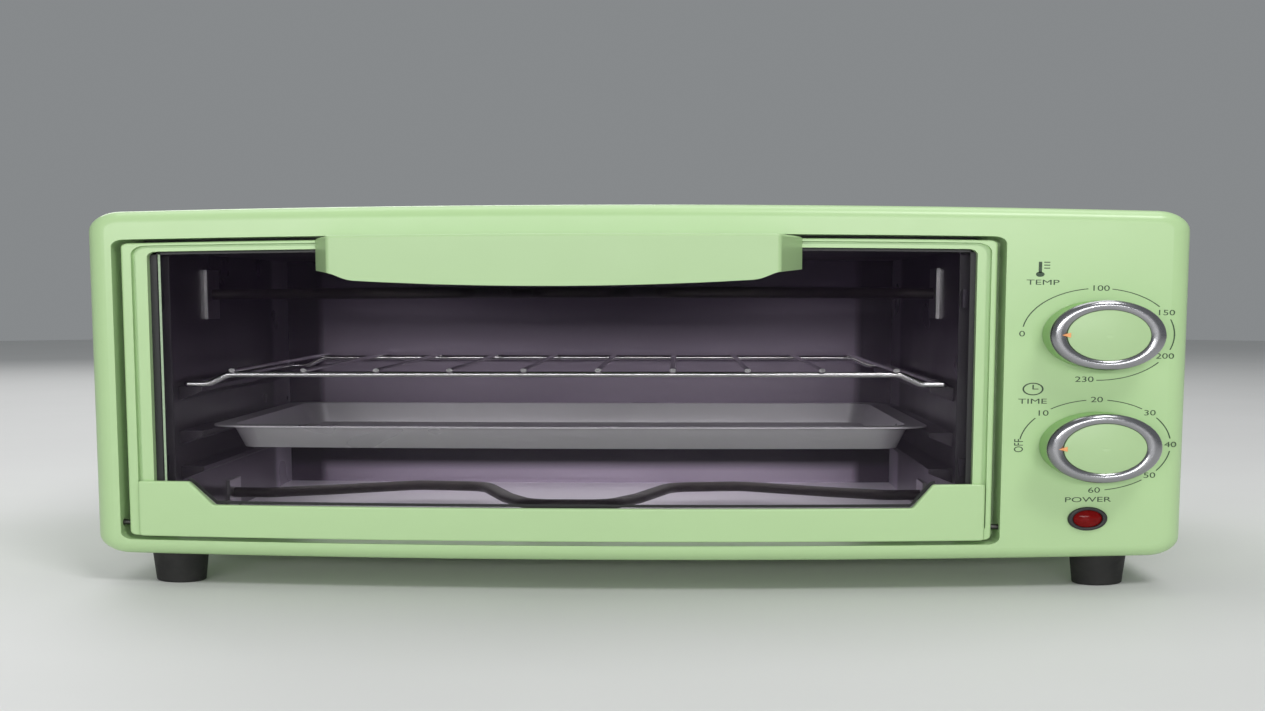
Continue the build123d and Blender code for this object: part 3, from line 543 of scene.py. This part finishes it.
def add_glass_border():
    """Black border printed round the glass, a pale line inside it as a painted highlight, and a line over
    the bottom strip.
    """
    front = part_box("door_glass")[0].y
    black = print_ink("border_ink", (0.006, 0.006, 0.007))
    # painted highlight: the pale line inside the border
    pale = print_ink("edge_highlight_ink", (0.25, 0.33, 0.22))
    left = BORDER_LEFT + BORDER_LEFT_W / 2
    right = BORDER_RIGHT - BORDER_RIGHT_W / 2
    top = BORDER_HIGH - BORDER_TOP_W / 2
    inner = BORDER_LEFT + PALE_LINE_IN
    prints = {
        "glass_border_left": ([(left, BORDER_LOW), (left, BORDER_HIGH)], BORDER_LEFT_W, black),
        "glass_border_right": ([(right, BORDER_LOW), (right, BORDER_HIGH)], BORDER_RIGHT_W, black),
        "glass_border_top": ([(BORDER_LEFT, top), (BORDER_RIGHT, top)], BORDER_TOP_W, black),
        "glass_edge_highlight": ([(inner, PALE_LINE_LOW), (inner, BORDER_HIGH)], PALE_LINE_W, pale),
        "strip_edge_line": (STRIP_LINE, STRIP_LINE_W, black),
    }
    for name, (line, width, ink) in prints.items():
        ribbon(name, [line], width, front, ink, "door")


# ---------------------------------------------------------------- camera, light and floor
IMAGE_WIDTH, IMAGE_HEIGHT = 1265, 711
PIXELS_ACROSS = 1893.0      # for each radian across
PIXELS_UP = 1112.0          # for each unit of slope up
SLOPE_BELOW = 0.2936        # slope down to the picture's bottom edge
CAMERA_OFF = 0.600          # from the fascia's front
CAMERA_X, CAMERA_Z = 0.013, 0.1632
CAMERA_DOWN = 4.5           # degrees
CAMERA_LEFT = 1.34          # degrees


def add_camera():
    """Camera before the oven. The photograph is stretched sideways, so the view packs fewer
    degrees into its width than a round knob needs: a cylindrical view with its own angle across
    and its own height up does that, and the model keeps its true proportions."""
    data = bpy.data.cameras.new("camera")
    data.type = "PANO"
    data.panorama_type = "CENTRAL_CYLINDRICAL"
    data.central_cylindrical_radius = 1.0
    data.central_cylindrical_range_u_min = -IMAGE_WIDTH / 2 / PIXELS_ACROSS
    data.central_cylindrical_range_u_max = IMAGE_WIDTH / 2 / PIXELS_ACROSS
    data.central_cylindrical_range_v_min = -SLOPE_BELOW
    data.central_cylindrical_range_v_max = IMAGE_HEIGHT / PIXELS_UP - SLOPE_BELOW
    camera = add_object("camera", data)
    camera.location = (CAMERA_X, FRONT - CAMERA_OFF, CAMERA_Z)
    camera.rotation_euler = (math.radians(90 - CAMERA_DOWN), 0, math.radians(CAMERA_LEFT))
    bpy.context.scene.camera = camera


def area_light(name, place, aim, size, power):
    """Soft rectangular light at a place, turned towards a point, with its power in watts."""
    data = bpy.data.lights.new(name, "AREA")
    data.shape = "RECTANGLE"
    data.size, data.size_y = size
    data.energy = power
    lamp = add_object(name, data)
    lamp.location = place
    lamp.rotation_euler = (Vector(aim) - Vector(place)).to_track_quat("-Z", "Y").to_euler()


SKY = (0.86, 0.90, 0.93, 1)
SKY_STRENGTH = 0.28


def add_light():
    """Large soft lights round the oven, a weak one under its tray aimed at the chamber's floor,
    and a pale world."""
    oven = (0, 0, 0.1)
    under_tray = (BACK_WALL.x, FRONT + 0.14, 0.066)
    below_chamber = (BACK_WALL.x, FRONT + 0.14, 0)
    area_light("key", (0.45, -0.95, 1.55), oven, size=(0.5, 0.4), power=10)
    area_light("front", (-0.15, -1.8, 0.46), (0, 0, 0.11), size=(1.5, 0.22), power=13.5)
    area_light("chamber", under_tray, below_chamber, size=(0.22, 0.09), power=0.085)
    area_light("top", (0.0, 0.2, 1.7), oven, size=(1.4, 1.0), power=10)
    area_light("back", (-0.6, 1.6, 1.2), oven, size=(1.4, 0.8), power=10)
    world = bpy.data.worlds.new("studio")
    world.use_nodes = True
    background = world.node_tree.nodes["Background"]
    background.inputs["Color"].default_value = SKY
    background.inputs["Strength"].default_value = SKY_STRENGTH
    bpy.context.scene.world = world
    bpy.context.scene.view_settings.view_transform = "Standard"


FLOOR_R = 4.0


def add_floor():
    """Pale round studio floor."""
    shape = bmesh.new()
    bmesh.ops.create_circle(shape, cap_ends=True, segments=96, radius=FLOOR_R)
    floor = add_object("floor", mesh_from("floor", shape))
    tree = Tree("pale_floor")
    tree.colour(tree.ramp(tree.noise(3), (0.70, 0.70, 0.69), (0.75, 0.75, 0.74)))
    tree.roughness(tree.span(tree.noise(20), 0.5, 0.65))
    floor.data.materials.append(tree.material)


add_camera()
add_light()
add_floor()
dress_nodes()
add_dial("temperature", TEMPERATURE, TEMPERATURE_MARKS, gap=9)
add_dial("timer", TIMER, TIMER_MARKS, gap=8)
add_labels()
add_thermometer()
add_clock()
add_glass_border()
